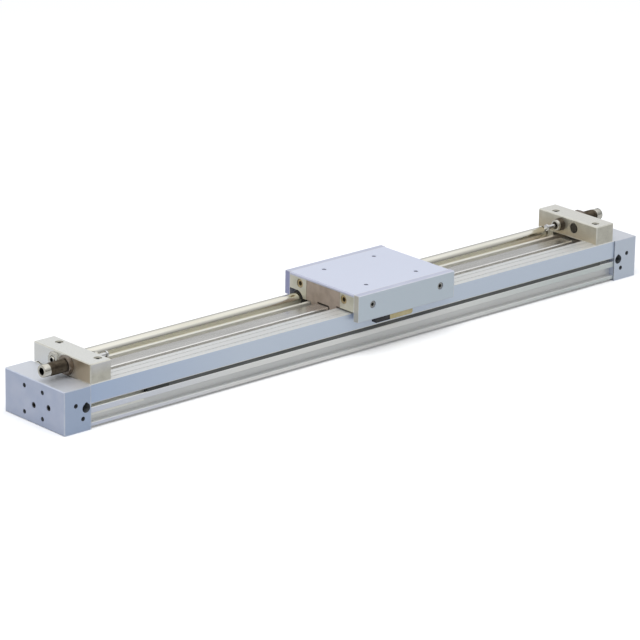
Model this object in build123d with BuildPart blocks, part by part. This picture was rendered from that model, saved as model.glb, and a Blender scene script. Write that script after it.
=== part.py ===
from build123d import *
import os

# Rodless pneumatic cylinder: a table on a linear guide, pulled along by a piston that runs in a
# thin tube behind the guide and holds the table through the tube wall by magnets.
# X runs along the stroke, Y across the body (front is -Y), Z up from the feet of the end plates.
# All sizes are in millimetres.

# Overall length and end plates
overall_length = 700
plate_length = 29
plate_overhang = 1.5
plate_height = 40
plate_edge = 0.8

# Extruded frame between the end plates
front_wall = 19.5
trough_width = 36.2
rib_width = 3.6
bay_width = 20.7
foot_clearance = 2
floor_thickness = 12
ledge_width = 5
ledge_drop = 15.5
rib_drop = 4
back_floor_top = 18
pedestal_width = 18
belly_width = 46
belly_depth = 1.5
air_passage_r = 2.5
wall_passage_drop = 11
body_edge = 0.4
top_groove_width = 0.9
top_groove_depth = 0.6
top_groove_pitch = 8

# Sensor slot and mounting groove in both long sides
slot_z = 21
slot_opening = 3.2
slot_lip = 1.6
slot_inner = 7
slot_depth = 5.6
groove_z = 9.75
groove_width = 8.5
groove_depth = 5
strip_start = 64
strip_end = 18
strip_recess = 0.3

# Guide rail and its screws
rail_width = 15
rail_height = 15
rail_drop = 2
rail_groove = 1.8
rail_end_gap = 1
rail_screw_pitch = 60
rail_screw_count = 10
rail_screw_head_r = 3.5
rail_screw_head = 4
rail_screw_r = 1.9
rail_screw_grip = 7
rail_counterbore_r = 3.75
rail_cap = 1.2

# Cylinder tube, its end plugs and seals
tube_from_back = 6.5
tube_drop = 5
tube_r = 6
tube_bore_r = 5
plug_seat_r = 3.8
plug_depth = 3
plug_chamber = 6
plug_reach = 45
plug_air_r = 2
seal_width = 1.5
seal_depth = 1
seal_place = 6
slip_fit = 0.05

# Ports and holes of the end plates
port_r = 4.285
port_depth = 10
port_from_end = 23.8
port_z = 20.8
port_passage_r = 2
port_passage_z = 24
riser_r = 2.4
passage_plug = 5
small_hole_r = 2.1
small_hole_depth = 6
upper_hole_from_end = 12.4
upper_hole_z = 25
lower_hole_from_end = 20.2
lower_hole_z = 11.7
end_bolt_y = 1.5
end_bolt_z = 19.5
end_bolt_spacing_y = 25
end_bolt_spacing_z = 24
end_bolt_r = 2.1
end_bolt_depth = 10
base_bolt_r = 2.5
base_bolt_depth = 12
base_bolt_spacing_y = 60
plate_screw_head_r = 2.6
plate_screw_head = 3.5
plate_screw_r = 1.6
plate_screw_grip = 12
plate_screw_sink = 0.4
plate_screw_in_wall = 1
plate_screw_off_rail = 3
wall_screw_z = 20
floor_screw_z = 17

# Slide table: top plate, side plates and end caps
table_rest_x = 39.5
table_length = 119
side_plate_gap = 3.5
table_clearance = 1.5
table_skirt = 5.5
table_plate = 11.5
table_lip = 2.5
table_end_edge = 1.2
side_plate = 6.5
side_plate_edge = 0.6
front_plate_overlap = 7
back_plate_overlap = 4
cap_length = 6
cap_depth = 7.5
cap_clearance = 1
cap_tube_clearance = 0.9
table_bolt_spacing_x = 62
table_bolt_spacing_y = 57
table_bolt_r = 2.1
table_bolt_depth = 9
side_screw_spacing = 84
front_screw_drop = 11
back_screw_drop = 6
side_screw_head_r = 3.4
side_screw_head = 4
side_screw_r = 1.9
side_screw_grip = 8
cap_screw_from_side = 13.8
cap_screw_drop = 8
cap_screw_head_r = 4
cap_screw_head = 3
cap_screw_r = 2
cap_screw_grip = 7
screw_sink = 0.5
head_fit = 0.1

# Guide block on the rail
block_length = 76
block_wall_gap = 1.5
block_rib_gap = 0.7
block_lift = 4.6
block_end = 5
block_end_inset = 0.6
block_rail_gap = 0.35
block_screw_spacing = 52
block_screw_y = 12.4
block_screw_head_r = 3.4
block_screw_head = 4
block_screw_r = 1.9
block_screw_reach = 7

# Magnet slider round the tube
slider_rib_gap = 2.7
slider_below_tube = 12.5
slider_edge = 3
magnet_r = 9.2
magnet_length = 8
yoke_length = 4
magnet_count = 4
magnet_tube_gap = 0.4
wear_ring_r = 7.5
wear_ring_gap = 4.5
scraper_out = 5.3
scraper_in = 3
drive_pin_r = 2.5
drive_pin_x = 36
drive_pin_down = 2.6
drive_pin_up = 4

# Piston inside the tube
piston_shaft_r = 1.5
inner_magnet_r = 4.5
piston_length = 10
piston_groove = 1
piston_groove_width = 2
bumper_length = 6
bumper_r = 3.6

# Magnet for the position sensors, under the front side plate
sensor_magnet_from_end = 22.6
sensor_magnet_length = 17
bracket_length = 28
bracket_height = 4.5
bracket_back = 0.5
bracket_edge = 1.5

# Stop holders with shock absorbers and stop bolts
holder_length = 23
holder_gap = 1
holder_side_inset = 0.5
holder_height = 18.3
holder_edge = 1
holder_tube_gap = 0.5
stop_y = 8.75
stop_rise = 10
holder_screw_from_face = 7.5
holder_screw_from_side = 10
holder_foot_width = 7
holder_foot_gap = 0.3
rear_screw_grip = 8
holder_screw_head_r = 3.6
holder_screw_head = 4.6
holder_screw_r = 2
holder_screw_grip = 7
rear_screw_r = 1.8
absorber_r = 6
absorber_length = 60
absorber_back = 29
absorber_ring = 7
absorber_ring_r = 5.7
absorber_socket_r = 3.4
absorber_socket_depth = 5
absorber_nose_r = 5.2
absorber_nose = 2.5
rod_r = 2
rod_stroke = 12
rod_cap_r = 3.2
rod_cap = 2.2
rod_cap_gap = 0.4
rod_inside = 10
rod_fit = 0.05
thread_fit = 0.05
absorber_nut_flats = 16
absorber_nut = 5
bolt_r = 4
bolt_back = 4.5
bolt_nut_flats = 13
bolt_nut = 3.5
bolt_socket_r = 2.3
bolt_socket_depth = 4
bumper_tip_r = 4.4
bumper_tip = 4
bumper_edge = 0.6
bumper_out = 0.5
bumper_recess_r = 5
bumper_recess = 4.5
strike_pad_width = 46
strike_pad_depth = 2.5
strike_pad_sink = 0.4

# Places that follow from the sizes above
end_x = overall_length / 2
body_half = end_x - plate_length
frame_width = front_wall + trough_width + rib_width + bay_width
half_width = frame_width / 2
plate_width = frame_width + 2 * plate_overhang
table_width = frame_width + 2 * (side_plate_gap + side_plate)
wall_inner = half_width - front_wall
rib_front = -wall_inner + trough_width
rib_back = rib_front + rib_width
block_width = trough_width - block_wall_gap - block_rib_gap
rail_y = -wall_inner + block_wall_gap + block_width / 2
tube_y = half_width - tube_from_back
wall_mid = -(half_width + wall_inner) / 2
floor_top = foot_clearance + floor_thickness
ledge_top = plate_height - ledge_drop
rib_top = plate_height - rib_drop
wall_passage_z = plate_height - wall_passage_drop
rail_top = plate_height - rail_drop
pedestal_top = rail_top - rail_height
tube_z = plate_height - tube_drop
slider_bottom = tube_z - slider_below_tube
rail_half = body_half - rail_end_gap
block_bottom = pedestal_top + block_lift
block_half = block_length / 2
table_half = table_length / 2
table_edge_bottom = plate_height + table_clearance
cap_drop = table_edge_bottom - cap_depth
table_seat = table_edge_bottom + table_skirt
table_top = table_seat + table_plate
front_plate_bottom = plate_height - front_plate_overlap
back_plate_bottom = plate_height - back_plate_overlap
front_screw_z = table_top - front_screw_drop
back_screw_z = table_top - back_screw_drop
cap_screw_z = table_top - cap_screw_drop
stop_z = plate_height + stop_rise
holder_top = plate_height + holder_height
table_inner = table_width / 2 - side_plate
cap_inner = table_half - cap_length
cap_top = table_top - table_lip
cap_screw_y = table_inner - cap_screw_from_side
cap_tube_r = wear_ring_r + cap_tube_clearance
slider_front = rib_back + slider_rib_gap
slider_back = table_inner
slider_half = cap_inner
slider_channel = slider_front - cap_clearance
block_channel = block_width / 2 + cap_clearance
stack_length = magnet_count * magnet_length + (magnet_count + 1) * yoke_length
stack_half = stack_length / 2
wear_ring_length = slider_half - scraper_in - stack_half - wear_ring_gap
magnet_pitch = magnet_length + yoke_length
holder_out = body_half - holder_gap
holder_in = holder_out - holder_length
holder_mid = (holder_out + holder_in) / 2
holder_width = frame_width - 2 * holder_side_inset
holder_screw_y = half_width - holder_screw_from_side
holder_screw_x = holder_in + holder_screw_from_face
foot_front = rib_back + holder_foot_gap
rear_screw_y = foot_front + holder_foot_width / 2
absorber_out = holder_out + absorber_back
absorber_in = absorber_out - absorber_length
rod_tip = absorber_in - rod_stroke
bolt_out = holder_out + bolt_back
bolt_in = holder_in - bumper_out + bumper_tip
plate_screw_places = (
    (-wall_inner + plate_screw_in_wall, wall_screw_z),
    (rail_y + plate_screw_off_rail, floor_screw_z),
)
sensor_magnet_x = table_rest_x - table_half + sensor_magnet_from_end

os.makedirs("parts", exist_ok=True)

# Profile of the guide rail, with a ball groove in each side
with BuildSketch() as rail_profile:
    with BuildLine():
        Polyline(
            (0, 0),
            (rail_width / 2, 0),
            (rail_width / 2, rail_height * 0.36),
            (rail_width / 2 - rail_groove, rail_height * 0.48),
            (rail_width / 2 - rail_groove, rail_height * 0.66),
            (rail_width / 2, rail_height * 0.8),
            (rail_width / 2, rail_height - 0.8),
            (rail_width / 2 - 0.8, rail_height),
            (0, rail_height),
            close=True,
        )
    make_face()
    mirror(about=Plane.YZ)

# The same profile with the running gap of the guide block, and with the wider gap of the end caps
with BuildSketch() as block_gap_profile:
    add(rail_profile.sketch)
    offset(amount=block_rail_gap, kind=Kind.INTERSECTION)
with BuildSketch() as cap_gap_profile:
    add(rail_profile.sketch)
    offset(amount=cap_clearance, kind=Kind.INTERSECTION)

# Profile of the table's end caps: over the front wall, down beside the rail, over the rib and the tube
with BuildSketch() as cap_profile:
    with BuildLine():
        Polyline(
            (-table_inner, cap_top),
            (-table_inner, table_edge_bottom),
            (-wall_inner + cap_clearance, table_edge_bottom),
            (-wall_inner + cap_clearance, cap_drop),
            (rib_front - cap_clearance, cap_drop),
            (rib_front - cap_clearance, rib_top + cap_clearance),
            (tube_y, rib_top + cap_clearance),
            (tube_y, tube_z + cap_tube_r),
            (table_inner, tube_z + cap_tube_r),
            (table_inner, cap_top),
            close=True,
        )
    make_face()
    with Locations((tube_y, tube_z)):
        Circle(cap_tube_r, mode=Mode.SUBTRACT)
    with Locations((rail_y, pedestal_top)):
        add(cap_gap_profile.sketch, mode=Mode.SUBTRACT)

# Frame: one aluminium extrusion, with the guide trough, the tube bay and a slot and a groove each side
with BuildPart() as frame_extrusion:
    with BuildSketch(Plane.YZ.offset(-body_half)):
        with BuildLine():
            Polyline(
                (-half_width, foot_clearance),
                (-belly_width / 2, foot_clearance),
                (-belly_width / 2 + belly_depth, foot_clearance + belly_depth),
                (belly_width / 2 - belly_depth, foot_clearance + belly_depth),
                (belly_width / 2, foot_clearance),
                (half_width, foot_clearance),
                (half_width, back_floor_top),
                (rib_back, back_floor_top),
                (rib_back, rib_top),
                (rib_front, rib_top),
                (rib_front, floor_top),
                (rail_y + pedestal_width / 2, floor_top),
                (rail_y + pedestal_width / 2 - 1.2, pedestal_top),
                (rail_y - pedestal_width / 2 + 1.2, pedestal_top),
                (rail_y - pedestal_width / 2, floor_top),
                (-wall_inner + ledge_width, floor_top),
                (-wall_inner + ledge_width, ledge_top),
                (-wall_inner, ledge_top),
                (-wall_inner, plate_height),
                (-half_width, plate_height),
                close=True,
            )
        make_face()
        # Sensor slot in the front, narrow at its mouth, and a mounting groove in both sides
        with Locations((-half_width + slot_depth / 2, slot_z)):
            Rectangle(slot_depth, slot_opening, mode=Mode.SUBTRACT)
        with Locations((-half_width + (slot_lip + slot_depth) / 2, slot_z)):
            Rectangle(slot_depth - slot_lip, slot_inner, mode=Mode.SUBTRACT)
        with Locations((-half_width + groove_depth / 2, groove_z), (half_width - groove_depth / 2, groove_z)):
            Rectangle(groove_depth, groove_width, mode=Mode.SUBTRACT)
        # Two fine grooves along the top of the front wall, and the air passage inside it
        with Locations((wall_mid, plate_height - top_groove_depth / 2)):
            with GridLocations(top_groove_pitch, 1, 2, 1):
                Rectangle(top_groove_width, top_groove_depth, mode=Mode.SUBTRACT)
        with Locations((wall_mid, wall_passage_z)):
            Circle(air_passage_r, mode=Mode.SUBTRACT)
        # Small chamfers on the corners of both sides, with the mouths of the slot and the grooves
        side_corners = vertices().group_by(Axis.X)
        chamfer(side_corners[0] + side_corners[-1], body_edge)
    extrude(amount=2 * body_half)
    # Threads for the rail screws, for the end plate screws and for the stop holders
    with BuildSketch(Plane.XY.offset(pedestal_top)):
        with Locations((0, rail_y)):
            with GridLocations(rail_screw_pitch, 1, rail_screw_count, 1):
                Circle(rail_screw_r)
    extrude(amount=-rail_screw_grip, mode=Mode.SUBTRACT)
    for side in (-1, 1):
        with BuildSketch(Plane.YZ.offset(side * body_half)):
            with Locations(*plate_screw_places):
                Circle(plate_screw_r)
        extrude(amount=-side * plate_screw_grip, mode=Mode.SUBTRACT)
        with BuildSketch(Plane.XY.offset(plate_height)):
            with Locations((side * holder_screw_x, -holder_screw_y)):
                Circle(holder_screw_r)
        extrude(amount=-holder_screw_grip, mode=Mode.SUBTRACT)
        with BuildSketch(Plane.XY.offset(back_floor_top)):
            with Locations((side * holder_screw_x, rear_screw_y)):
                Circle(rear_screw_r)
        extrude(amount=-rear_screw_grip, mode=Mode.SUBTRACT)
frame_extrusion.part.label = "frame_extrusion"
export_step(frame_extrusion.part, "parts/frame_extrusion.step")

# Black strip that closes the sensor slot over most of its length
with BuildPart() as slot_strip:
    with BuildSketch(Plane.YZ.offset(-body_half + strip_start)):
        with Locations((-half_width + (slot_depth + strip_recess) / 2, slot_z)):
            Rectangle(slot_depth - strip_recess, slot_opening)
        with Locations((-half_width + (slot_depth + slot_lip) / 2, slot_z)):
            Rectangle(slot_depth - slot_lip, slot_inner)
    extrude(amount=2 * body_half - strip_start - strip_end)
slot_strip.part.label = "slot_strip"
export_step(slot_strip.part, "parts/slot_strip.step")

# Guide rail with a counterbored hole for each screw
with BuildPart() as guide_rail:
    with BuildSketch(Plane.YZ.offset(-rail_half)):
        with Locations((rail_y, pedestal_top)):
            add(rail_profile.sketch)
    extrude(amount=2 * rail_half)
    with Locations((0, rail_y, rail_top)):
        with GridLocations(rail_screw_pitch, 1, rail_screw_count, 1):
            CounterBoreHole(rail_screw_r, rail_counterbore_r, rail_screw_head + rail_cap)
guide_rail.part.label = "guide_rail"
export_step(guide_rail.part, "parts/guide_rail.step")

# Screws that hold the rail down on its pedestal
with BuildPart() as rail_screws:
    with BuildSketch(Plane.XY.offset(rail_top - rail_cap - rail_screw_head)):
        with Locations((0, rail_y)):
            with GridLocations(rail_screw_pitch, 1, rail_screw_count, 1):
                Circle(rail_screw_head_r)
    extrude(amount=rail_screw_head)
    with BuildSketch(Plane.XY.offset(pedestal_top - rail_screw_grip)):
        with Locations((0, rail_y)):
            with GridLocations(rail_screw_pitch, 1, rail_screw_count, 1):
                Circle(rail_screw_r)
    extrude(amount=rail_height + rail_screw_grip - rail_cap - rail_screw_head)
rail_screws.part.label = "rail_screws"
export_step(rail_screws.part, "parts/rail_screws.step")

# Caps that close the rail's counterbores flush with its top
with BuildPart() as rail_caps:
    with BuildSketch(Plane.XY.offset(rail_top - rail_cap)):
        with Locations((0, rail_y)):
            with GridLocations(rail_screw_pitch, 1, rail_screw_count, 1):
                Circle(rail_counterbore_r)
    extrude(amount=rail_cap)
rail_caps.part.label = "rail_caps"
export_step(rail_caps.part, "parts/rail_caps.step")

# Thin cylinder tube between the end plates
with BuildPart() as cylinder_tube:
    with BuildSketch(Plane.YZ.offset(-body_half)):
        with Locations((tube_y, tube_z)):
            Circle(tube_r)
            Circle(tube_bore_r, mode=Mode.SUBTRACT)
    extrude(amount=2 * body_half)
cylinder_tube.part.label = "cylinder_tube"
export_step(cylinder_tube.part, "parts/cylinder_tube.step")

# Seal rings on both tube plugs
with BuildPart() as tube_seals:
    for side in (-1, 1):
        with BuildSketch(Plane.YZ.offset(side * (body_half - seal_place))):
            with Locations((tube_y, tube_z)):
                Circle(tube_bore_r)
                Circle(tube_bore_r - slip_fit - seal_depth, mode=Mode.SUBTRACT)
        extrude(amount=-side * seal_width)
tube_seals.part.label = "tube_seals"
export_step(tube_seals.part, "parts/tube_seals.step")

for side, name in ((-1, "left"), (1, "right")):
    outer_face = Plane.YZ.offset(side * end_x)
    inner_face = Plane.YZ.offset(side * body_half)
    port_x = side * (end_x - port_from_end)
    plate_x = side * (body_half + plate_length / 2)

    # End plate with its port, its mounting threads and the seat of the tube plug
    with BuildPart() as end_plate:
        with BuildSketch(Plane.XY):
            with Locations((plate_x, 0)):
                Rectangle(plate_length, plate_width)
        extrude(amount=plate_height)
        outside = end_plate.edges().group_by(Axis.X)[0 if side < 0 else -1]
        chamfer(outside, plate_edge)
        # Seat of the tube plug with a chamber behind it, and the air's way there from the front port
        with BuildSketch(inner_face):
            with Locations((tube_y, tube_z)):
                Circle(plug_seat_r)
        extrude(amount=side * (plug_depth + plug_chamber), mode=Mode.SUBTRACT)
        with BuildSketch(Plane.XZ.offset(plate_width / 2)):
            with Locations((port_x, port_z)):
                Circle(port_r)
        extrude(amount=-port_depth, mode=Mode.SUBTRACT)
        with BuildSketch(Plane.XZ.offset(plate_width / 2)):
            with Locations((port_x, port_passage_z)):
                Circle(port_passage_r)
        extrude(amount=-plate_width / 2 - tube_y, mode=Mode.SUBTRACT)
        with BuildSketch(Plane.XY):
            with Locations((port_x, tube_y)):
                Circle(riser_r)
        extrude(amount=tube_z - riser_r, mode=Mode.SUBTRACT)
        # Two small blind holes in the front face
        with BuildSketch(Plane.XZ.offset(plate_width / 2)):
            with Locations((side * (end_x - upper_hole_from_end), upper_hole_z)):
                Circle(small_hole_r)
            with Locations((side * (end_x - lower_hole_from_end), lower_hole_z)):
                Circle(small_hole_r)
        extrude(amount=-small_hole_depth, mode=Mode.SUBTRACT)
        # Four mounting threads in the outer face, two in the feet
        with BuildSketch(outer_face):
            with Locations((end_bolt_y, end_bolt_z)):
                with GridLocations(end_bolt_spacing_y, end_bolt_spacing_z, 2, 2):
                    Circle(end_bolt_r)
        extrude(amount=-side * end_bolt_depth, mode=Mode.SUBTRACT)
        with BuildSketch(Plane.XY):
            with Locations((plate_x, 0)):
                with GridLocations(1, base_bolt_spacing_y, 1, 2):
                    Circle(base_bolt_r)
        extrude(amount=base_bolt_depth, mode=Mode.SUBTRACT)
        # Counterbored holes of the screws that hold the plate on the frame
        with BuildSketch(outer_face):
            with Locations(*plate_screw_places):
                Circle(plate_screw_r)
        extrude(amount=-side * plate_length, mode=Mode.SUBTRACT)
        with BuildSketch(outer_face):
            with Locations(*plate_screw_places):
                Circle(plate_screw_head_r + head_fit)
        extrude(amount=-side * (plate_screw_head + plate_screw_sink), mode=Mode.SUBTRACT)
    end_plate.part.label = f"end_plate_{name}"
    export_step(end_plate.part, f"parts/end_plate_{name}.step")

    # Screws that hold the end plate on the frame
    with BuildPart() as plate_screws:
        with BuildSketch(Plane.YZ.offset(side * (end_x - plate_screw_sink))):
            with Locations(*plate_screw_places):
                Circle(plate_screw_head_r)
        extrude(amount=-side * plate_screw_head)
        with BuildSketch(Plane.YZ.offset(side * (body_half - plate_screw_grip))):
            with Locations(*plate_screw_places):
                Circle(plate_screw_r)
        extrude(amount=side * (plate_screw_grip + plate_length - plate_screw_sink - plate_screw_head))
    plate_screws.part.label = f"plate_screws_{name}"
    export_step(plate_screws.part, f"parts/plate_screws_{name}.step")

    # Plug that closes the upright air passage at the foot of the plate
    with BuildPart() as passage_plug_part:
        with BuildSketch(Plane.XY.offset(screw_sink)):
            with Locations((port_x, tube_y)):
                Circle(riser_r)
        extrude(amount=passage_plug)
    passage_plug_part.part.label = f"passage_plug_{name}"
    export_step(passage_plug_part.part, f"parts/passage_plug_{name}.step")

    # Plug that carries and seals the end of the tube, with an air hole along it and a seal groove
    with BuildPart() as tube_plug:
        with BuildSketch(Plane.YZ.offset(side * (body_half + plug_depth))):
            with Locations((tube_y, tube_z)):
                Circle(plug_seat_r)
        extrude(amount=-side * plug_depth)
        with BuildSketch(inner_face):
            with Locations((tube_y, tube_z)):
                Circle(tube_bore_r - slip_fit)
        extrude(amount=-side * plug_reach)
        with BuildSketch(Plane.YZ.offset(side * (body_half + plug_depth))):
            with Locations((tube_y, tube_z)):
                Circle(plug_air_r)
        extrude(amount=-side * (plug_depth + plug_reach), mode=Mode.SUBTRACT)
        with BuildSketch(Plane.YZ.offset(side * (body_half - seal_place))):
            with Locations((tube_y, tube_z)):
                Circle(tube_bore_r)
                Circle(tube_bore_r - slip_fit - seal_depth, mode=Mode.SUBTRACT)
        extrude(amount=-side * seal_width, mode=Mode.SUBTRACT)
    tube_plug.part.label = f"tube_plug_{name}"
    export_step(tube_plug.part, f"parts/tube_plug_{name}.step")

    # Stop holder: a bar across the frame, with a foot beside the tube and two bores for the stops,
    # the stop bolt's with a recess for its bumper.
    # The shock absorber is in front on the left and behind on the right, the stop bolt on the other side.
    absorber_y = side * stop_y
    bolt_y = -side * stop_y
    with BuildPart() as stop_holder:
        with BuildSketch(Plane.XY.offset(plate_height)):
            with Locations((side * holder_mid, 0)):
                Rectangle(holder_length, holder_width)
        extrude(amount=holder_top - plate_height)
        chamfer(stop_holder.edges().filter_by(Axis.Z, reverse=True).group_by(Axis.Z)[-1], holder_edge)
        chamfer(stop_holder.edges().filter_by(Axis.Z), holder_edge)
        with BuildSketch(Plane.XY.offset(back_floor_top)):
            with Locations((side * holder_mid, rear_screw_y)):
                Rectangle(holder_length - 2 * holder_edge, holder_foot_width)
        extrude(amount=plate_height - back_floor_top)
        with BuildSketch(Plane.YZ.offset(side * holder_in)):
            with Locations((tube_y, tube_z)):
                Circle(tube_r + holder_tube_gap)
        extrude(amount=side * holder_length, mode=Mode.SUBTRACT)
        with BuildSketch(Plane.YZ.offset(side * holder_in)):
            with Locations((absorber_y, stop_z)):
                Circle(absorber_r + thread_fit)
            with Locations((bolt_y, stop_z)):
                Circle(bolt_r + thread_fit)
        extrude(amount=side * holder_length, mode=Mode.SUBTRACT)
        with BuildSketch(Plane.YZ.offset(side * holder_in)):
            with Locations((bolt_y, stop_z)):
                Circle(bumper_recess_r)
        extrude(amount=side * bumper_recess, mode=Mode.SUBTRACT)
        with Locations((side * holder_screw_x, -holder_screw_y, holder_top)):
            CounterBoreHole(holder_screw_r, holder_screw_head_r + head_fit, holder_screw_head + screw_sink)
        with Locations((side * holder_screw_x, rear_screw_y, holder_top)):
            CounterBoreHole(rear_screw_r, holder_screw_head_r + head_fit, holder_screw_head + screw_sink)
    stop_holder.part.label = f"stop_holder_{name}"
    export_step(stop_holder.part, f"parts/stop_holder_{name}.step")

    # Screws of the stop holder: a short one in the front wall, a long one down to the back floor
    with BuildPart() as holder_screws:
        with BuildSketch(Plane.XY.offset(holder_top - screw_sink)):
            with Locations((side * holder_screw_x, -holder_screw_y), (side * holder_screw_x, rear_screw_y)):
                Circle(holder_screw_head_r)
        extrude(amount=-holder_screw_head)
        with BuildSketch(Plane.XY.offset(plate_height - holder_screw_grip)):
            with Locations((side * holder_screw_x, -holder_screw_y)):
                Circle(holder_screw_r)
        extrude(amount=holder_screw_grip + holder_top - plate_height - screw_sink - holder_screw_head)
        with BuildSketch(Plane.XY.offset(back_floor_top - rear_screw_grip)):
            with Locations((side * holder_screw_x, rear_screw_y)):
                Circle(rear_screw_r)
        extrude(amount=rear_screw_grip + holder_top - back_floor_top - screw_sink - holder_screw_head)
    holder_screws.part.label = f"holder_screws_{name}"
    export_step(holder_screws.part, f"parts/holder_screws_{name}.step")

    # Lock nuts of the shock absorber and of the stop bolt, on the holder's outer face
    with BuildPart() as absorber_lock_nut:
        with BuildSketch(Plane.YZ.offset(side * holder_out)):
            with Locations((absorber_y, stop_z)):
                RegularPolygon(absorber_nut_flats / 2, 6, major_radius=False)
                Circle(absorber_r + thread_fit, mode=Mode.SUBTRACT)
        extrude(amount=side * absorber_nut)
    absorber_lock_nut.part.label = f"absorber_nut_{name}"
    export_step(absorber_lock_nut.part, f"parts/absorber_nut_{name}.step")
    with BuildPart() as bolt_lock_nut:
        with BuildSketch(Plane.YZ.offset(side * holder_out)):
            with Locations((bolt_y, stop_z)):
                RegularPolygon(bolt_nut_flats / 2, 6, major_radius=False)
                Circle(bolt_r + thread_fit, mode=Mode.SUBTRACT)
        extrude(amount=side * bolt_nut)
    bolt_lock_nut.part.label = f"bolt_nut_{name}"
    export_step(bolt_lock_nut.part, f"parts/bolt_nut_{name}.step")

    # Shock absorber: threaded body with a plain nose, ring with a hexagon socket outside, rod bore inside
    with BuildPart() as shock_absorber:
        with BuildSketch(Plane.YZ.offset(side * (absorber_in + absorber_nose))):
            with Locations((absorber_y, stop_z)):
                Circle(absorber_r)
        extrude(amount=side * (absorber_length - absorber_nose - absorber_ring))
        with BuildSketch(Plane.YZ.offset(side * absorber_in)):
            with Locations((absorber_y, stop_z)):
                Circle(absorber_nose_r)
        extrude(amount=side * absorber_nose)
        with BuildSketch(Plane.YZ.offset(side * absorber_out)):
            with Locations((absorber_y, stop_z)):
                Circle(absorber_ring_r)
        extrude(amount=-side * absorber_ring)
        with BuildSketch(Plane.YZ.offset(side * absorber_out)):
            with Locations((absorber_y, stop_z)):
                RegularPolygon(absorber_socket_r, 6)
        extrude(amount=-side * absorber_socket_depth, mode=Mode.SUBTRACT)
        with BuildSketch(Plane.YZ.offset(side * absorber_in)):
            with Locations((absorber_y, stop_z)):
                Circle(rod_r + rod_fit)
        extrude(amount=side * (rod_inside + rod_stroke + 1), mode=Mode.SUBTRACT)
        with BuildSketch(Plane.YZ.offset(side * absorber_in)):
            with Locations((absorber_y, stop_z)):
                Circle(rod_cap_r + rod_cap_gap)
        extrude(amount=side * (rod_cap + rod_cap_gap), mode=Mode.SUBTRACT)
    shock_absorber.part.label = f"shock_absorber_{name}"
    export_step(shock_absorber.part, f"parts/shock_absorber_{name}.step")

    # Rod of the shock absorber, standing out towards the table, with its cap
    with BuildPart() as absorber_rod:
        with BuildSketch(Plane.YZ.offset(side * rod_tip)):
            with Locations((absorber_y, stop_z)):
                Circle(rod_cap_r)
        extrude(amount=side * rod_cap)
        with BuildSketch(Plane.YZ.offset(side * (rod_tip + rod_cap))):
            with Locations((absorber_y, stop_z)):
                Circle(rod_r)
        extrude(amount=side * (rod_stroke - rod_cap + rod_inside))
    absorber_rod.part.label = f"absorber_rod_{name}"
    export_step(absorber_rod.part, f"parts/absorber_rod_{name}.step")

    # Stop bolt with a hexagon socket outside and a bumper on its inner end, set back in the holder
    with BuildPart() as stop_bolt:
        with BuildSketch(Plane.YZ.offset(side * bolt_in)):
            with Locations((bolt_y, stop_z)):
                Circle(bolt_r)
        extrude(amount=side * (bolt_out - bolt_in))
        with BuildSketch(Plane.YZ.offset(side * bolt_out)):
            with Locations((bolt_y, stop_z)):
                RegularPolygon(bolt_socket_r, 6)
        extrude(amount=-side * bolt_socket_depth, mode=Mode.SUBTRACT)
    stop_bolt.part.label = f"stop_bolt_{name}"
    export_step(stop_bolt.part, f"parts/stop_bolt_{name}.step")
    with BuildPart() as stop_bumper:
        with BuildSketch(Plane.YZ.offset(side * bolt_in)):
            with Locations((bolt_y, stop_z)):
                Circle(bumper_tip_r)
        extrude(amount=-side * bumper_tip)
        chamfer(stop_bumper.edges().group_by(Axis.X)[-1 if side < 0 else 0], bumper_edge)
    stop_bumper.part.label = f"stop_bumper_{name}"
    export_step(stop_bumper.part, f"parts/stop_bumper_{name}.step")

    # End cap of the table, with a pocket across its middle for the strike pad
    cap_plane = Plane.YZ.offset(table_rest_x + side * table_half)
    with BuildPart() as end_cap:
        with BuildSketch(cap_plane):
            add(cap_profile.sketch)
        extrude(amount=-side * cap_length)
        with BuildSketch(cap_plane):
            add(cap_profile.sketch)
            with Locations((rail_y, cap_top)):
                Rectangle(
                    strike_pad_width, cap_top - cap_drop, align=(Align.CENTER, Align.MAX), mode=Mode.INTERSECT
                )
        extrude(amount=-side * (strike_pad_sink + strike_pad_depth), mode=Mode.SUBTRACT)
        with BuildSketch(cap_plane):
            with Locations((-cap_screw_y, cap_screw_z), (cap_screw_y, cap_screw_z)):
                Circle(cap_screw_r)
        extrude(amount=-side * cap_length, mode=Mode.SUBTRACT)
        with BuildSketch(cap_plane):
            with Locations((-cap_screw_y, cap_screw_z), (cap_screw_y, cap_screw_z)):
                Circle(cap_screw_head_r + head_fit)
        extrude(amount=-side * (cap_screw_head + screw_sink), mode=Mode.SUBTRACT)
    end_cap.part.label = f"end_cap_{name}"
    export_step(end_cap.part, f"parts/end_cap_{name}.step")

    # Screws of the end cap
    with BuildPart() as cap_screws:
        with BuildSketch(Plane.YZ.offset(table_rest_x + side * (table_half - screw_sink))):
            with Locations((-cap_screw_y, cap_screw_z), (cap_screw_y, cap_screw_z)):
                Circle(cap_screw_head_r)
        extrude(amount=-side * cap_screw_head)
        with BuildSketch(Plane.YZ.offset(table_rest_x + side * (cap_inner - cap_screw_grip))):
            with Locations((-cap_screw_y, cap_screw_z), (cap_screw_y, cap_screw_z)):
                Circle(cap_screw_r)
        extrude(amount=side * (cap_screw_grip + cap_length - screw_sink - cap_screw_head))
    cap_screws.part.label = f"cap_screws_{name}"
    export_step(cap_screws.part, f"parts/cap_screws_{name}.step")

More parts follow.
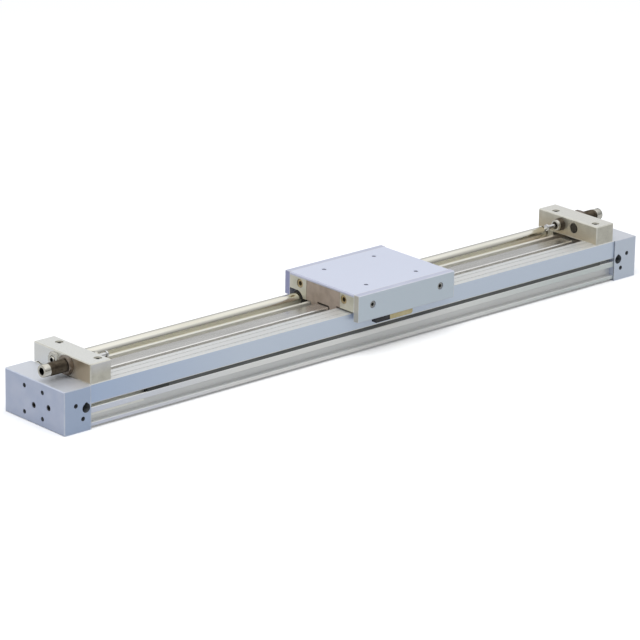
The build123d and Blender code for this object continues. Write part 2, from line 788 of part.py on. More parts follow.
    # Hard pad in the cap's pocket that meets the shock absorber and the stop bolt, and clears the rail
    with BuildPart() as strike_pads:
        with BuildSketch(Plane.YZ.offset(table_rest_x + side * (table_half - strike_pad_sink))):
            add(cap_profile.sketch)
            with Locations((rail_y, cap_top)):
                Rectangle(
                    strike_pad_width, cap_top - cap_drop, align=(Align.CENTER, Align.MAX), mode=Mode.INTERSECT
                )
        extrude(amount=-side * strike_pad_depth)
    strike_pads.part.label = f"strike_pads_{name}"
    export_step(strike_pads.part, f"parts/strike_pads_{name}.step")

    # Plastic end piece of the guide block, a little smaller than the steel block
    with BuildPart() as block_end_piece:
        with BuildSketch(Plane.YZ.offset(table_rest_x + side * block_half)):
            with Locations((rail_y, block_bottom + block_end_inset)):
                Rectangle(
                    block_width - 2 * block_end_inset,
                    table_seat - block_bottom - 2 * block_end_inset,
                    align=(Align.CENTER, Align.MIN),
                )
            with Locations((rail_y, pedestal_top)):
                add(block_gap_profile.sketch, mode=Mode.SUBTRACT)
        extrude(amount=side * block_end)
    block_end_piece.part.label = f"block_end_{name}"
    export_step(block_end_piece.part, f"parts/block_end_{name}.step")

# Top plate of the table: channels below for the guide block and for the magnet slider
with BuildPart() as slide_table:
    with BuildSketch(Plane.YZ.offset(table_rest_x - cap_inner)):
        with BuildLine():
            Polyline(
                (-table_inner, table_edge_bottom),
                (rail_y - block_channel, table_edge_bottom),
                (rail_y - block_channel, table_seat),
                (rail_y + block_channel, table_seat),
                (rail_y + block_channel, table_edge_bottom),
                (slider_channel, table_edge_bottom),
                (slider_channel, table_seat),
                (table_inner, table_seat),
                (table_inner, cap_top),
                (-table_inner, cap_top),
                close=True,
            )
        make_face()
    extrude(amount=2 * cap_inner)
    with BuildSketch(Plane.XY.offset(cap_top)):
        with Locations((table_rest_x, 0)):
            Rectangle(table_length, 2 * table_inner)
    extrude(amount=table_lip)
    chamfer(slide_table.edges().filter_by(Axis.Y).group_by(Axis.Z)[-1], table_end_edge)
    # Threads for the load, in the top
    with BuildSketch(Plane.XY.offset(table_top)):
        with Locations((table_rest_x, 0)):
            with GridLocations(table_bolt_spacing_x, table_bolt_spacing_y, 2, 2):
                Circle(table_bolt_r)
    extrude(amount=-table_bolt_depth, mode=Mode.SUBTRACT)
    # Threads for the guide block's screws and seats of the drive pins, from below
    with BuildSketch(Plane.XY.offset(table_seat)):
        with Locations((table_rest_x, rail_y)):
            with GridLocations(block_screw_spacing, 2 * block_screw_y, 2, 2):
                Circle(block_screw_r)
    extrude(amount=block_screw_reach, mode=Mode.SUBTRACT)
    with BuildSketch(Plane.XY.offset(table_seat)):
        with Locations((table_rest_x, tube_y)):
            with GridLocations(2 * drive_pin_x, 1, 2, 1):
                Circle(drive_pin_r)
    extrude(amount=drive_pin_up, mode=Mode.SUBTRACT)
    # Threads for the side plates' and end caps' screws
    for side, screw_z in ((-1, front_screw_z), (1, back_screw_z)):
        with BuildSketch(Plane.XZ.offset(-side * table_inner)):
            with Locations((table_rest_x, screw_z)):
                with GridLocations(side_screw_spacing, 1, 2, 1):
                    Circle(side_screw_r)
        extrude(amount=side * side_screw_grip, mode=Mode.SUBTRACT)
        with BuildSketch(Plane.YZ.offset(table_rest_x + side * cap_inner)):
            with Locations((-cap_screw_y, cap_screw_z), (cap_screw_y, cap_screw_z)):
                Circle(cap_screw_r)
        extrude(amount=-side * cap_screw_grip, mode=Mode.SUBTRACT)
slide_table.part.label = "slide_table"
export_step(slide_table.part, "parts/slide_table.step")

# Side plates of the table, which hang down beside the frame, and their screws
for side, name, bottom, screw_z in (
    (-1, "front", front_plate_bottom, front_screw_z),
    (1, "back", back_plate_bottom, back_screw_z),
):
    plate_face = Plane.XZ.offset(-side * table_width / 2)
    with BuildPart() as side_plate_part:
        with BuildSketch(plate_face):
            with Locations((table_rest_x, bottom)):
                Rectangle(table_length, table_top - bottom, align=(Align.CENTER, Align.MIN))
        extrude(amount=side * side_plate)
        outside = side_plate_part.faces().sort_by(Axis.Y)[0 if side < 0 else -1].edges()
        chamfer(outside.filter_by(Axis.X), side_plate_edge)
        with BuildSketch(plate_face):
            with Locations((table_rest_x, screw_z)):
                with GridLocations(side_screw_spacing, 1, 2, 1):
                    Circle(side_screw_r)
        extrude(amount=side * side_plate, mode=Mode.SUBTRACT)
        with BuildSketch(plate_face):
            with Locations((table_rest_x, screw_z)):
                with GridLocations(side_screw_spacing, 1, 2, 1):
                    Circle(side_screw_head_r + head_fit)
        extrude(amount=side * (side_screw_head + screw_sink), mode=Mode.SUBTRACT)
    side_plate_part.part.label = f"side_plate_{name}"
    export_step(side_plate_part.part, f"parts/side_plate_{name}.step")
    with BuildPart() as side_screws:
        with BuildSketch(Plane.XZ.offset(-side * (table_width / 2 - screw_sink))):
            with Locations((table_rest_x, screw_z)):
                with GridLocations(side_screw_spacing, 1, 2, 1):
                    Circle(side_screw_head_r)
        extrude(amount=side * side_screw_head)
        with BuildSketch(Plane.XZ.offset(-side * (table_inner - side_screw_grip))):
            with Locations((table_rest_x, screw_z)):
                with GridLocations(side_screw_spacing, 1, 2, 1):
                    Circle(side_screw_r)
        extrude(amount=-side * (side_screw_grip + side_plate - screw_sink - side_screw_head))
    side_screws.part.label = f"side_screws_{name}"
    export_step(side_screws.part, f"parts/side_screws_{name}.step")

# Steel block that runs on the rail, screwed up into the table
with BuildPart() as guide_block:
    with BuildSketch(Plane.YZ.offset(table_rest_x - block_half)):
        with Locations((rail_y, block_bottom)):
            Rectangle(block_width, table_seat - block_bottom, align=(Align.CENTER, Align.MIN))
        with Locations((rail_y, pedestal_top)):
            add(block_gap_profile.sketch, mode=Mode.SUBTRACT)
    extrude(amount=block_length)
    with BuildSketch(Plane.XY.offset(block_bottom)):
        with Locations((table_rest_x, rail_y)):
            with GridLocations(block_screw_spacing, 2 * block_screw_y, 2, 2):
                Circle(block_screw_r)
    extrude(amount=table_seat - block_bottom, mode=Mode.SUBTRACT)
    with BuildSketch(Plane.XY.offset(block_bottom)):
        with Locations((table_rest_x, rail_y)):
            with GridLocations(block_screw_spacing, 2 * block_screw_y, 2, 2):
                Circle(block_screw_head_r + head_fit)
    extrude(amount=block_screw_head + screw_sink, mode=Mode.SUBTRACT)
guide_block.part.label = "guide_block"
export_step(guide_block.part, "parts/guide_block.step")

with BuildPart() as block_screws:
    with BuildSketch(Plane.XY.offset(block_bottom + screw_sink)):
        with Locations((table_rest_x, rail_y)):
            with GridLocations(block_screw_spacing, 2 * block_screw_y, 2, 2):
                Circle(block_screw_head_r)
    extrude(amount=block_screw_head)
    with BuildSketch(Plane.XY.offset(table_seat + block_screw_reach)):
        with Locations((table_rest_x, rail_y)):
            with GridLocations(block_screw_spacing, 2 * block_screw_y, 2, 2):
                Circle(block_screw_r)
    extrude(amount=-block_screw_reach - table_seat + block_bottom + screw_sink + block_screw_head)
block_screws.part.label = "block_screws"
export_step(block_screws.part, "parts/block_screws.step")

# Magnet slider: a block bored to run along the tube, wider in the middle for the magnets
with BuildPart() as magnet_slider:
    with BuildSketch(Plane.YZ.offset(table_rest_x - slider_half)):
        with BuildLine():
            Polyline(
                (slider_front, table_seat),
                (slider_front, slider_bottom + slider_edge),
                (slider_front + slider_edge, slider_bottom),
                (slider_back - slider_edge, slider_bottom),
                (slider_back, slider_bottom + slider_edge),
                (slider_back, table_seat),
                close=True,
            )
        make_face()
        with Locations((tube_y, tube_z)):
            Circle(wear_ring_r, mode=Mode.SUBTRACT)
    extrude(amount=2 * slider_half)
    with BuildSketch(Plane.YZ.offset(table_rest_x - stack_half)):
        with Locations((tube_y, tube_z)):
            Circle(magnet_r)
    extrude(amount=2 * stack_half, mode=Mode.SUBTRACT)
    with BuildSketch(Plane.XY.offset(table_seat)):
        with Locations((table_rest_x, tube_y)):
            with GridLocations(2 * drive_pin_x, 1, 2, 1):
                Circle(drive_pin_r)
    extrude(amount=-drive_pin_down, mode=Mode.SUBTRACT)
magnet_slider.part.label = "magnet_slider"
export_step(magnet_slider.part, "parts/magnet_slider.step")

# Pins that carry the slider's pull into the table
with BuildPart() as drive_pins:
    with BuildSketch(Plane.XY.offset(table_seat - drive_pin_down)):
        with Locations((table_rest_x, tube_y)):
            with GridLocations(2 * drive_pin_x, 1, 2, 1):
                Circle(drive_pin_r)
    extrude(amount=drive_pin_down + drive_pin_up)
drive_pins.part.label = "drive_pins"
export_step(drive_pins.part, "parts/drive_pins.step")

# Rings in the slider: magnets and yokes by turns, a wear ring at each end, a scraper outside it
with BuildPart() as outer_magnets:
    for i in range(magnet_count):
        with BuildSketch(Plane.YZ.offset(table_rest_x - stack_half + yoke_length + i * magnet_pitch)):
            with Locations((tube_y, tube_z)):
                Circle(magnet_r)
                Circle(tube_r + magnet_tube_gap, mode=Mode.SUBTRACT)
        extrude(amount=magnet_length)
outer_magnets.part.label = "outer_magnets"
export_step(outer_magnets.part, "parts/outer_magnets.step")

with BuildPart() as outer_yokes:
    for i in range(magnet_count + 1):
        with BuildSketch(Plane.YZ.offset(table_rest_x - stack_half + i * magnet_pitch)):
            with Locations((tube_y, tube_z)):
                Circle(magnet_r)
                Circle(tube_r + magnet_tube_gap, mode=Mode.SUBTRACT)
        extrude(amount=yoke_length)
outer_yokes.part.label = "outer_yokes"
export_step(outer_yokes.part, "parts/outer_yokes.step")

with BuildPart() as wear_rings:
    for side in (-1, 1):
        with BuildSketch(Plane.YZ.offset(table_rest_x + side * stack_half)):
            with Locations((tube_y, tube_z)):
                Circle(wear_ring_r)
                Circle(tube_r + slip_fit, mode=Mode.SUBTRACT)
        extrude(amount=side * wear_ring_length)
wear_rings.part.label = "wear_rings"
export_step(wear_rings.part, "parts/wear_rings.step")

with BuildPart() as tube_scrapers:
    for side in (-1, 1):
        with BuildSketch(Plane.YZ.offset(table_rest_x + side * (slider_half - scraper_in))):
            with Locations((tube_y, tube_z)):
                Circle(wear_ring_r)
                Circle(tube_r + slip_fit, mode=Mode.SUBTRACT)
        extrude(amount=side * (scraper_in + scraper_out))
tube_scrapers.part.label = "tube_scrapers"
export_step(tube_scrapers.part, "parts/tube_scrapers.step")

# Piston: magnets and yokes on a shaft, a piston with a seal at each end, then a bumper
with BuildPart() as piston_shaft:
    with BuildSketch(Plane.YZ.offset(table_rest_x - stack_half - piston_length)):
        with Locations((tube_y, tube_z)):
            Circle(piston_shaft_r)
    extrude(amount=2 * (stack_half + piston_length))
piston_shaft.part.label = "piston_shaft"
export_step(piston_shaft.part, "parts/piston_shaft.step")

with BuildPart() as inner_magnets:
    for i in range(magnet_count):
        with BuildSketch(Plane.YZ.offset(table_rest_x - stack_half + yoke_length + i * magnet_pitch)):
            with Locations((tube_y, tube_z)):
                Circle(inner_magnet_r)
                Circle(piston_shaft_r, mode=Mode.SUBTRACT)
        extrude(amount=magnet_length)
inner_magnets.part.label = "inner_magnets"
export_step(inner_magnets.part, "parts/inner_magnets.step")

with BuildPart() as inner_yokes:
    for i in range(magnet_count + 1):
        with BuildSketch(Plane.YZ.offset(table_rest_x - stack_half + i * magnet_pitch)):
            with Locations((tube_y, tube_z)):
                Circle(inner_magnet_r)
                Circle(piston_shaft_r, mode=Mode.SUBTRACT)
        extrude(amount=yoke_length)
inner_yokes.part.label = "inner_yokes"
export_step(inner_yokes.part, "parts/inner_yokes.step")

seal_offset = (piston_length - piston_groove_width) / 2
with BuildPart() as pistons:
    for side in (-1, 1):
        with BuildSketch(Plane.YZ.offset(table_rest_x + side * stack_half)):
            with Locations((tube_y, tube_z)):
                Circle(tube_bore_r - slip_fit)
                Circle(piston_shaft_r, mode=Mode.SUBTRACT)
        extrude(amount=side * piston_length)
        with BuildSketch(Plane.YZ.offset(table_rest_x + side * (stack_half + seal_offset))):
            with Locations((tube_y, tube_z)):
                Circle(tube_bore_r)
                Circle(tube_bore_r - slip_fit - piston_groove, mode=Mode.SUBTRACT)
        extrude(amount=side * piston_groove_width, mode=Mode.SUBTRACT)
pistons.part.label = "pistons"
export_step(pistons.part, "parts/pistons.step")

with BuildPart() as piston_seals:
    for side in (-1, 1):
        with BuildSketch(Plane.YZ.offset(table_rest_x + side * (stack_half + seal_offset))):
            with Locations((tube_y, tube_z)):
                Circle(tube_bore_r - slip_fit)
                Circle(tube_bore_r - slip_fit - piston_groove, mode=Mode.SUBTRACT)
        extrude(amount=side * piston_groove_width)
piston_seals.part.label = "piston_seals"
export_step(piston_seals.part, "parts/piston_seals.step")

with BuildPart() as piston_bumpers:
    for side in (-1, 1):
        with BuildSketch(Plane.YZ.offset(table_rest_x + side * (stack_half + piston_length))):
            with Locations((tube_y, tube_z)):
                Circle(bumper_r)
        extrude(amount=side * bumper_length)
piston_bumpers.part.label = "piston_bumpers"
export_step(piston_bumpers.part, "parts/piston_bumpers.step")

# Magnet that works the position sensors in the slot, and the bracket beside it, under the side plate
magnet_y = -(table_width / 2 + table_inner - bracket_back) / 2
with BuildPart() as sensor_magnet:
    with BuildSketch(Plane.XY.offset(front_plate_bottom)):
        with Locations((sensor_magnet_x + sensor_magnet_length / 2, magnet_y)):
            Rectangle(sensor_magnet_length, side_plate - bracket_back)
    extrude(amount=-bracket_height)
sensor_magnet.part.label = "sensor_magnet"
export_step(sensor_magnet.part, "parts/sensor_magnet.step")

with BuildPart() as magnet_bracket:
    with BuildSketch(Plane.XY.offset(front_plate_bottom)):
        with Locations((sensor_magnet_x + sensor_magnet_length + bracket_length / 2, magnet_y)):
            Rectangle(bracket_length, side_plate - bracket_back)
    extrude(amount=-bracket_height)
    chamfer(magnet_bracket.edges().filter_by(Axis.Y).group_by(Axis.X)[-1].sort_by(Axis.Z)[0], bracket_edge)
magnet_bracket.part.label = "magnet_bracket"
export_step(magnet_bracket.part, "parts/magnet_bracket.step")
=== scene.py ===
import math

import bmesh
import bpy
import numpy as np
from mathutils import Matrix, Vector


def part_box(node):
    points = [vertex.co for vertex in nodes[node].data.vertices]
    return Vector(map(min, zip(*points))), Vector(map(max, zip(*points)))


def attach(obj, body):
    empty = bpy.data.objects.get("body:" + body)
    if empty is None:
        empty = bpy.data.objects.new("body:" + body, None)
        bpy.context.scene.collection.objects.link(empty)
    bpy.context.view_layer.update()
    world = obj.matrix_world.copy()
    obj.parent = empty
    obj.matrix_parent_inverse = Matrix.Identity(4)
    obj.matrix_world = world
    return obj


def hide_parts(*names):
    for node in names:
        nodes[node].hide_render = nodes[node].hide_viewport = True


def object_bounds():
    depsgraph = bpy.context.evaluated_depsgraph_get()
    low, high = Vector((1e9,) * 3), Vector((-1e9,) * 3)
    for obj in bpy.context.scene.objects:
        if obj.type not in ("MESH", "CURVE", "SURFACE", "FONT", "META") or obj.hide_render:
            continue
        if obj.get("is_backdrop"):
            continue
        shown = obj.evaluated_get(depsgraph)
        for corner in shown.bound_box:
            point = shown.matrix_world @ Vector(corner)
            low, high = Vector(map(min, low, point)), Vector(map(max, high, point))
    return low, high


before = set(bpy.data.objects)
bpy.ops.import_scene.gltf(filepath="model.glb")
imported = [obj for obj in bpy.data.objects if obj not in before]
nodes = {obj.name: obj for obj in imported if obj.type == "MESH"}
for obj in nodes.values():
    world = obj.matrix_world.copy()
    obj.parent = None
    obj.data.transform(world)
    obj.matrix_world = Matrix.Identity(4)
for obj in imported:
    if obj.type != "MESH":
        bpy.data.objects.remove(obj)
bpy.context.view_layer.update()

# Camera: a long lens well away from the near end of the cylinder, a little above it and in front.
# Its axes follow from its heading, from its tilt down towards the object and from a slight roll.
mm = 0.001
eye = np.array([-2270.7, -2481.0, 1172.0]) * mm
heading, tilt, roll = 0.83432, 0.33042, 0.01822
ahead = np.array([
    math.cos(tilt) * math.cos(heading), math.cos(tilt) * math.sin(heading), -math.sin(tilt)
])
level = np.array([math.sin(heading), -math.cos(heading), 0.0])
above = np.cross(level, ahead)
right = level * math.cos(roll) + above * math.sin(roll)
up = above * math.cos(roll) - level * math.sin(roll)
camera_data = bpy.data.cameras.new("camera")
camera_data.sensor_width = 36.0
camera_data.lens = 218.66
camera_data.clip_end = 30.0
camera = bpy.data.objects.new("camera", camera_data)
camera.matrix_world = Matrix([[right[i], up[i], -ahead[i], eye[i]] for i in range(3)] + [[0, 0, 0, 1]])
bpy.context.scene.collection.objects.link(camera)
bpy.context.scene.camera = camera


# Frame: one aluminium extrusion, sawn to length and clear anodised. The die leaves fine lines along
# it. Painted reflection and shade: the upper band of its front is bluish, and the trough is warmer.
def node_of(tree, kind, feeds=(), **settings):
    """One node of a material. Each feed is a constant for an input, or the socket that drives it."""
    made = tree.nodes.new("ShaderNode" + kind)
    for key, value in settings.items():
        setattr(made, key, value)
    for key, value in dict(feeds).items():
        if isinstance(value, bpy.types.NodeSocket):
            tree.links.new(value, made.inputs[key])
        else:
            made.inputs[key].default_value = value
    return made


def finish(name, tones, metal, rough, grain, depth, cloud, rough_drift=0.06):
    """A surface finish read from object coordinates. Fine noise lifts the surface by up to depth mm and
    shifts the roughness by rough_drift. Wide noise carries the colour from tones[0], below 0.35, to
    tones[1], above 0.65. The cells are grain and cloud mm wide, given once or for x, y and z."""
    material = bpy.data.materials.new(name)
    material.use_nodes = True
    tree = material.node_tree
    shader = tree.nodes["Principled BSDF"]
    shader.inputs["Metallic"].default_value = metal
    place = node_of(tree, "TexCoord").outputs["Object"]
    fine_place = node_of(tree, "Mapping", {"Vector": place, "Scale": 1 / (np.ones(3) * grain * mm)})
    wide_place = node_of(tree, "Mapping", {"Vector": place, "Scale": 1 / (np.ones(3) * cloud * mm)})
    fine = node_of(tree, "TexNoise", {"Vector": fine_place.outputs[0], "Scale": 1.0, "Detail": 3.0})
    wide = node_of(tree, "TexNoise", {"Vector": wide_place.outputs[0], "Scale": 1.0, "Detail": 2.0})
    ramp = node_of(tree, "ValToRGB", {"Fac": wide.outputs["Fac"]})
    for element, where, tone in zip(ramp.color_ramp.elements, (0.35, 0.65), tones):
        element.position = where
        element.color = (*tone, 1.0)
    drift = node_of(tree, "MapRange", {
        "Value": fine.outputs["Fac"], "From Min": 0.3, "From Max": 0.7,
        "To Min": rough - rough_drift, "To Max": rough + rough_drift,
    })
    lift = node_of(tree, "Bump", {"Height": fine.outputs["Fac"], "Strength": 1.0, "Distance": depth * mm})
    tree.links.new(ramp.outputs["Color"], shader.inputs["Base Color"])
    tree.links.new(drift.outputs["Result"], shader.inputs["Roughness"])
    tree.links.new(lift.outputs["Normal"], shader.inputs["Normal"])
    return material


def corners(name):
    """The low and the high corner of a node's box, in mm to a thousandth."""
    return [np.round(np.array(corner) / mm, 3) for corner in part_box(name)]


def slice_at(place, reach=0.1):
    """A thin slice of an axis, in mm, that picks out the face that lies at place."""
    return place - reach, place + reach


def box_distance(tree, low, high):
    """How far a point lies outside the slab of each axis of a box, in m, and negative inside: its
    distance from the middle less half the box. low and high are in mm."""
    place = node_of(tree, "TexCoord").outputs["Object"]
    middle, half = (low + high) / 2 * mm, (high - low) / 2 * mm
    apart = node_of(tree, "VectorMath", {0: place, 1: middle}, operation="SUBTRACT")
    size = node_of(tree, "VectorMath", {0: apart.outputs[0]}, operation="ABSOLUTE")
    over = node_of(tree, "VectorMath", {0: size.outputs[0], 1: half}, operation="SUBTRACT")
    return over.outputs[0]


def tint(material, mask, colour):
    """Where mask is 1 the base colour becomes colour, and where it is 0 it stays as it was."""
    tree = material.node_tree
    base = tree.nodes["Principled BSDF"].inputs["Base Color"]
    mix = node_of(tree, "Mix", {0: mask, 6: base.links[0].from_socket, 7: (*colour, 1.0)}, data_type="RGBA")
    tree.links.new(mix.outputs[2], base)


def tint_inside(material, x, y, z, colour, along=None):
    """Tints what lies in a box, where all three slab distances are below zero. x, y and z are its start
    and end on each axis, in mm. With along=(axis, start, end) the tint grows from nothing at start to
    full at end on that axis."""
    tree = material.node_tree
    low, high = np.transpose([x, y, z])
    axes = node_of(tree, "SeparateXYZ", {0: box_distance(tree, low, high)})
    most = node_of(tree, "Math", {0: axes.outputs[0], 1: axes.outputs[1]}, operation="MAXIMUM")
    most = node_of(tree, "Math", {0: most.outputs[0], 1: axes.outputs[2]}, operation="MAXIMUM")
    mask = node_of(tree, "Math", {0: most.outputs[0], 1: 0.0}, operation="LESS_THAN")
    if along:
        axis, start, end = along
        place = node_of(tree, "SeparateXYZ", {0: node_of(tree, "TexCoord").outputs["Object"]}).outputs[axis]
        grown = node_of(tree, "MapRange", {"Value": place, "From Min": start * mm, "From Max": end * mm})
        mask = node_of(tree, "Math", {0: mask.outputs[0], 1: grown.outputs["Result"]}, operation="MULTIPLY")
    tint(material, mask.outputs[0], colour)


def dress(material, *names):
    """Gives these CAD nodes this finish."""
    for name in names:
        for place in nodes[name].material_slots:
            place.material = material


extruded = finish(
    "extruded_anodised", ((0.770, 0.780, 0.770), (0.825, 0.830, 0.815)), metal=0.55, rough=0.36,
    grain=(9.0, 0.22, 0.22), depth=0.006, cloud=(160.0, 14.0, 14.0),
)
low, high = corners("frame_extrusion")
body_half = high[0]
whole = (low[0] - 0.5, high[0] + 0.5)
front_face, back_face = slice_at(low[1]), slice_at(high[1])
# The edge between the two bands of a side lies just above the mouth of the sensor slot
band_edge = 23.45
upper_band, lower_band = (band_edge, high[2] - 0.5), (-0.1, band_edge)
left_from, right_from, right_full = -150, 90, 260
left_part, right_part = (whole[0], left_from), (right_from, whole[1])
growing_left, growing_right = ("X", left_from, -body_half), ("X", right_from, right_full)
# Painted reflection and shade: the upper band of the front is bluish, the lower bands pale, all darker
# towards the ends
tint_inside(extruded, whole, front_face, upper_band, (0.690, 0.775, 0.895))
tint_inside(extruded, left_part, front_face, upper_band, (0.500, 0.615, 0.815), growing_left)
for face in (front_face, back_face):
    tint_inside(extruded, whole, face, lower_band, (0.93, 0.93, 0.90))
    tint_inside(extruded, left_part, face, lower_band, (0.73, 0.77, 0.88), growing_left)
    tint_inside(extruded, right_part, face, lower_band, (0.72, 0.77, 0.75), growing_right)
# Painted light: the open sensor slot is tinted bright up to where its strip starts, against its shade
strip_start = corners("slot_strip")[0][0]
tint_inside(extruded, (whole[0], strip_start - 0.5), (-39.85, -33), (10, 24), (0.95, 0.95, 0.90))
# Painted reflection and light: the trough is tinted warm all along, its front part paler, and browner
# towards the stop holders
trough, trough_front, trough_height = (-20.45, 39.9), (-20.6, -9.5), (13.9, 39.9)
holder_in = corners("stop_holder_right")[0][0]
brown_from = holder_in - 35
tint_inside(extruded, whole, trough, trough_height, (0.90, 0.885, 0.81))
tint_inside(extruded, whole, trough_front, trough_height, (0.96, 0.95, 0.92))
for side in (-1, 1):
    near_end = sorted((side * brown_from, side * whole[1]))
    growing = ("X", side * brown_from, side * holder_in)
    tint_inside(extruded, near_end, trough, trough_height, (0.94, 0.85, 0.74), growing)
dress(extruded, "frame_extrusion")

# Sensor slot strip: black plastic pressed into the slot in the front, slightly below the surface.
# It is extruded too, so its grain runs along it. It is matt and a little dusty, and dark at its left end.
strip = finish(
    "strip_plastic", ((0.078, 0.083, 0.079), (0.118, 0.124, 0.118)), metal=0.0, rough=0.5,
    grain=(6.0, 0.18, 0.18), depth=0.008, cloud=(40.0, 5.0, 5.0),
)
tint_inside(strip, (strip_start - 1, strip_start + 24), (-41, -33), (5, 30), (0.030, 0.034, 0.032))
dress(strip, "slot_strip")


# End plates: milled aluminium blocks with a fine blasted and anodised skin, each held by two screws.
# The holes in the end face, in the front and in the foot and the port are tapped, and show a thread.
def own_copy(material, part):
    """A copy of a finish, for tints, painted light and painted edge highlights that only this part has."""
    made = material.copy()
    made.name = f"{material.name}_{part}"
    return made


def painted_edge_highlight(material, low, high, width, colour):
    """Paints a highlight on the edges of a box from low to high, in mm, where rounded edges would catch
    light: a point that is within width mm of two of its faces lies on an edge. Noise breaks the line up,
    between 0.28 and 0.7 of the colour."""
    tree = material.node_tree
    size = node_of(tree, "VectorMath", {0: box_distance(tree, low, high)}, operation="ABSOLUTE")
    axes = node_of(tree, "SeparateXYZ", {0: size.outputs[0]})
    near = [
        node_of(tree, "MapRange", {
            "Value": axes.outputs[i], "From Min": width * 0.7 * mm, "From Max": width * mm,
            "To Min": 1.0, "To Max": 0.0,
        }).outputs["Result"]
        for i in range(3)
    ]
    both = node_of(tree, "Math", {0: near[0], 1: near[1]}, operation="ADD")
    three = node_of(tree, "Math", {0: both.outputs[0], 1: near[2]}, operation="ADD")
    edge = node_of(tree, "Math", {0: three.outputs[0], 1: 1.0}, operation="SUBTRACT", use_clamp=True)
    place = node_of(tree, "TexCoord").outputs["Object"]
    patchiness = node_of(tree, "TexNoise", {"Vector": place, "Scale": 180.0, "Detail": 3.0})
    amount = node_of(tree, "MapRange", {
        "Value": patchiness.outputs["Fac"], "From Min": 0.35, "From Max": 0.6, "To Min": 0.28, "To Max": 0.7,
    })
    mask = node_of(tree, "Math", {0: edge.outputs[0], 1: amount.outputs["Result"]}, operation="MULTIPLY")
    tint(material, mask.outputs[0], colour)


def paint_socket_shade(material, colour):
    """Paints shade on the points that a piece marks as lying in a socket, where little light comes."""
    mark = node_of(material.node_tree, "Attribute", attribute_name="hollow")
    tint(material, mark.outputs["Fac"], colour)


def around(count):
    """count angles, evenly spaced round a full turn."""
    return np.arange(count) * (2 * np.pi / count)


def hexagon(turn):
    """Radius of a hexagon at each angle, as a share of its corner radius: cos 30 over the cosine of the
    angle from the middle of the flat."""
    return np.cos(np.pi / 6) / np.cos(turn % (np.pi / 3) - np.pi / 6)


def lathe(station, radius, turn, origin, axis):
    """A grid of points round an axis, in mm. Row i stands station[i] along the axis from origin, and its
    point j lies radius[i, j] away from it at angle turn[j], counted from Y, or from X if Y is the axis."""
    axis = np.array(axis, float)
    first = np.array([1.0, 0, 0]) if abs(axis[1]) > 0.5 else np.array([0, 1.0, 0])
    second = np.cross(axis, first)
    spoke = np.cos(turn)[:, None] * first + np.sin(turn)[:, None] * second
    station = np.reshape(station, (-1, 1, 1))
    return np.array(origin, float) + station * axis + radius[..., None] * spoke


def turned(rows, turn, origin, axis):
    """A turned shape from rows of (station, radius). A row with a third number, from 0 to 1, goes that
    far from a circle to a hexagon whose corners lie at the radius."""
    station, radius, six = np.array([(*row, 0)[:3] for row in rows], float).T[..., None]
    return lathe(station, radius * (1 - six + six * hexagon(turn)), turn, origin, axis)


def mesh_object(name, grids, material, hollow=0):
    """An object from grids of points in mm. Point (i, j) makes a face with (i, j + 1), (i + 1, j + 1) and
    (i + 1, j), the last column meets the first, and points that coincide are merged, which closes the
    poles. The point attribute hollow is 1 on the first rows of each grid, as many as hollow says, which
    lie in a socket, and 0 elsewhere."""
    points, faces, marks, start = [], [], [], 0
    for grid in grids:
        index = start + np.arange(grid.shape[0] * grid.shape[1]).reshape(grid.shape[:2])
        beside = np.roll(index, -1, axis=1)
        faces.append(np.stack([index[:-1], beside[:-1], beside[1:], index[1:]], -1).reshape(-1, 4))
        points.append(grid.reshape(-1, 3) * mm)
        marks.append(np.repeat(np.arange(grid.shape[0]) < hollow, grid.shape[1]))
        start += index.size
    mesh = bpy.data.meshes.new(name)
    mesh.from_pydata(np.vstack(points).tolist(), [], np.vstack(faces).tolist())
    mark = mesh.attributes.new("hollow", "FLOAT", "POINT")
    mark.data.foreach_set("value", np.concatenate(marks).astype("f"))
    work = bmesh.new()
    work.from_mesh(mesh)
    bmesh.ops.remove_doubles(work, verts=work.verts, dist=1e-7)
    bmesh.ops.recalc_face_normals(work, faces=work.faces)
    work.to_mesh(mesh)
    work.free()
    mesh.shade_smooth()
    mesh.set_sharp_from_angle(angle=math.radians(32))
    mesh.materials.append(material)
    made = bpy.data.objects.new(name, mesh)
    bpy.context.scene.collection.objects.link(made)
    return made


def skin(name, grids, body, material, replaces=(), hollow=0):
    """A piece of the cylinder from closed grids, which rides on a body and stands for the nodes named."""
    piece = mesh_object(name, grids, material, hollow)
    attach(piece, body)
    if replaces:
        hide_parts(*replaces)


def ridge(station, turn, pitch):
    """Height of a screw thread from 0 to 1: a triangle wave of distance over pitch less the share of a
    turn, times a fade that takes one pitch at both ends."""
    phase = (station[:, None] / pitch - turn / (2 * np.pi)) % 1.0
    fade = np.clip((station - station[0]) / pitch, 0, 1) * np.clip((station[-1] - station) / pitch, 0, 1)
    return fade[:, None] * (1 - np.abs(2 * phase - 1))


def tapped_hole(origin, axis, radius, depth, pitch):
    """Thread in a hole: a sleeve whose outer wall lies on the hole's wall and whose inner wall carries
    the ridge, half a pitch high. It starts 0.4 mm inside the hole's mouth."""
    turn = around(28)
    station = np.arange(0.4, depth, pitch / 6)
    inner = radius - 0.05 - 0.5 * pitch * ridge(station, turn, pitch)
    wall = np.full((1, len(turn)), radius - 0.01)
    rows = np.vstack([wall, inner, wall, wall])
    return lathe([station[0], *station, station[-1], station[0]], rows, turn, origin, axis)


def socket_screw(origin, axis, head_r, head, shank_r, length, socket_r, socket):
    """A socket head screw, turned: floor and wall of the hexagon socket, bevelled mouth, flat top, rounded
    edge, side of the head, then its shank. socket_r is the socket's corner radius."""
    edge = 0.12 * head_r
    rows = [
        (socket, 0), (socket, socket_r, 1), (0.18, socket_r, 1), (0, socket_r + 0.16, 0.25),
        (0, head_r - edge), (0.3 * edge, head_r - 0.3 * edge), (edge, head_r), (head, head_r),
        (head, shank_r), (length, shank_r), (length, 0),
    ]
    return turned(rows, around(48), origin, axis)


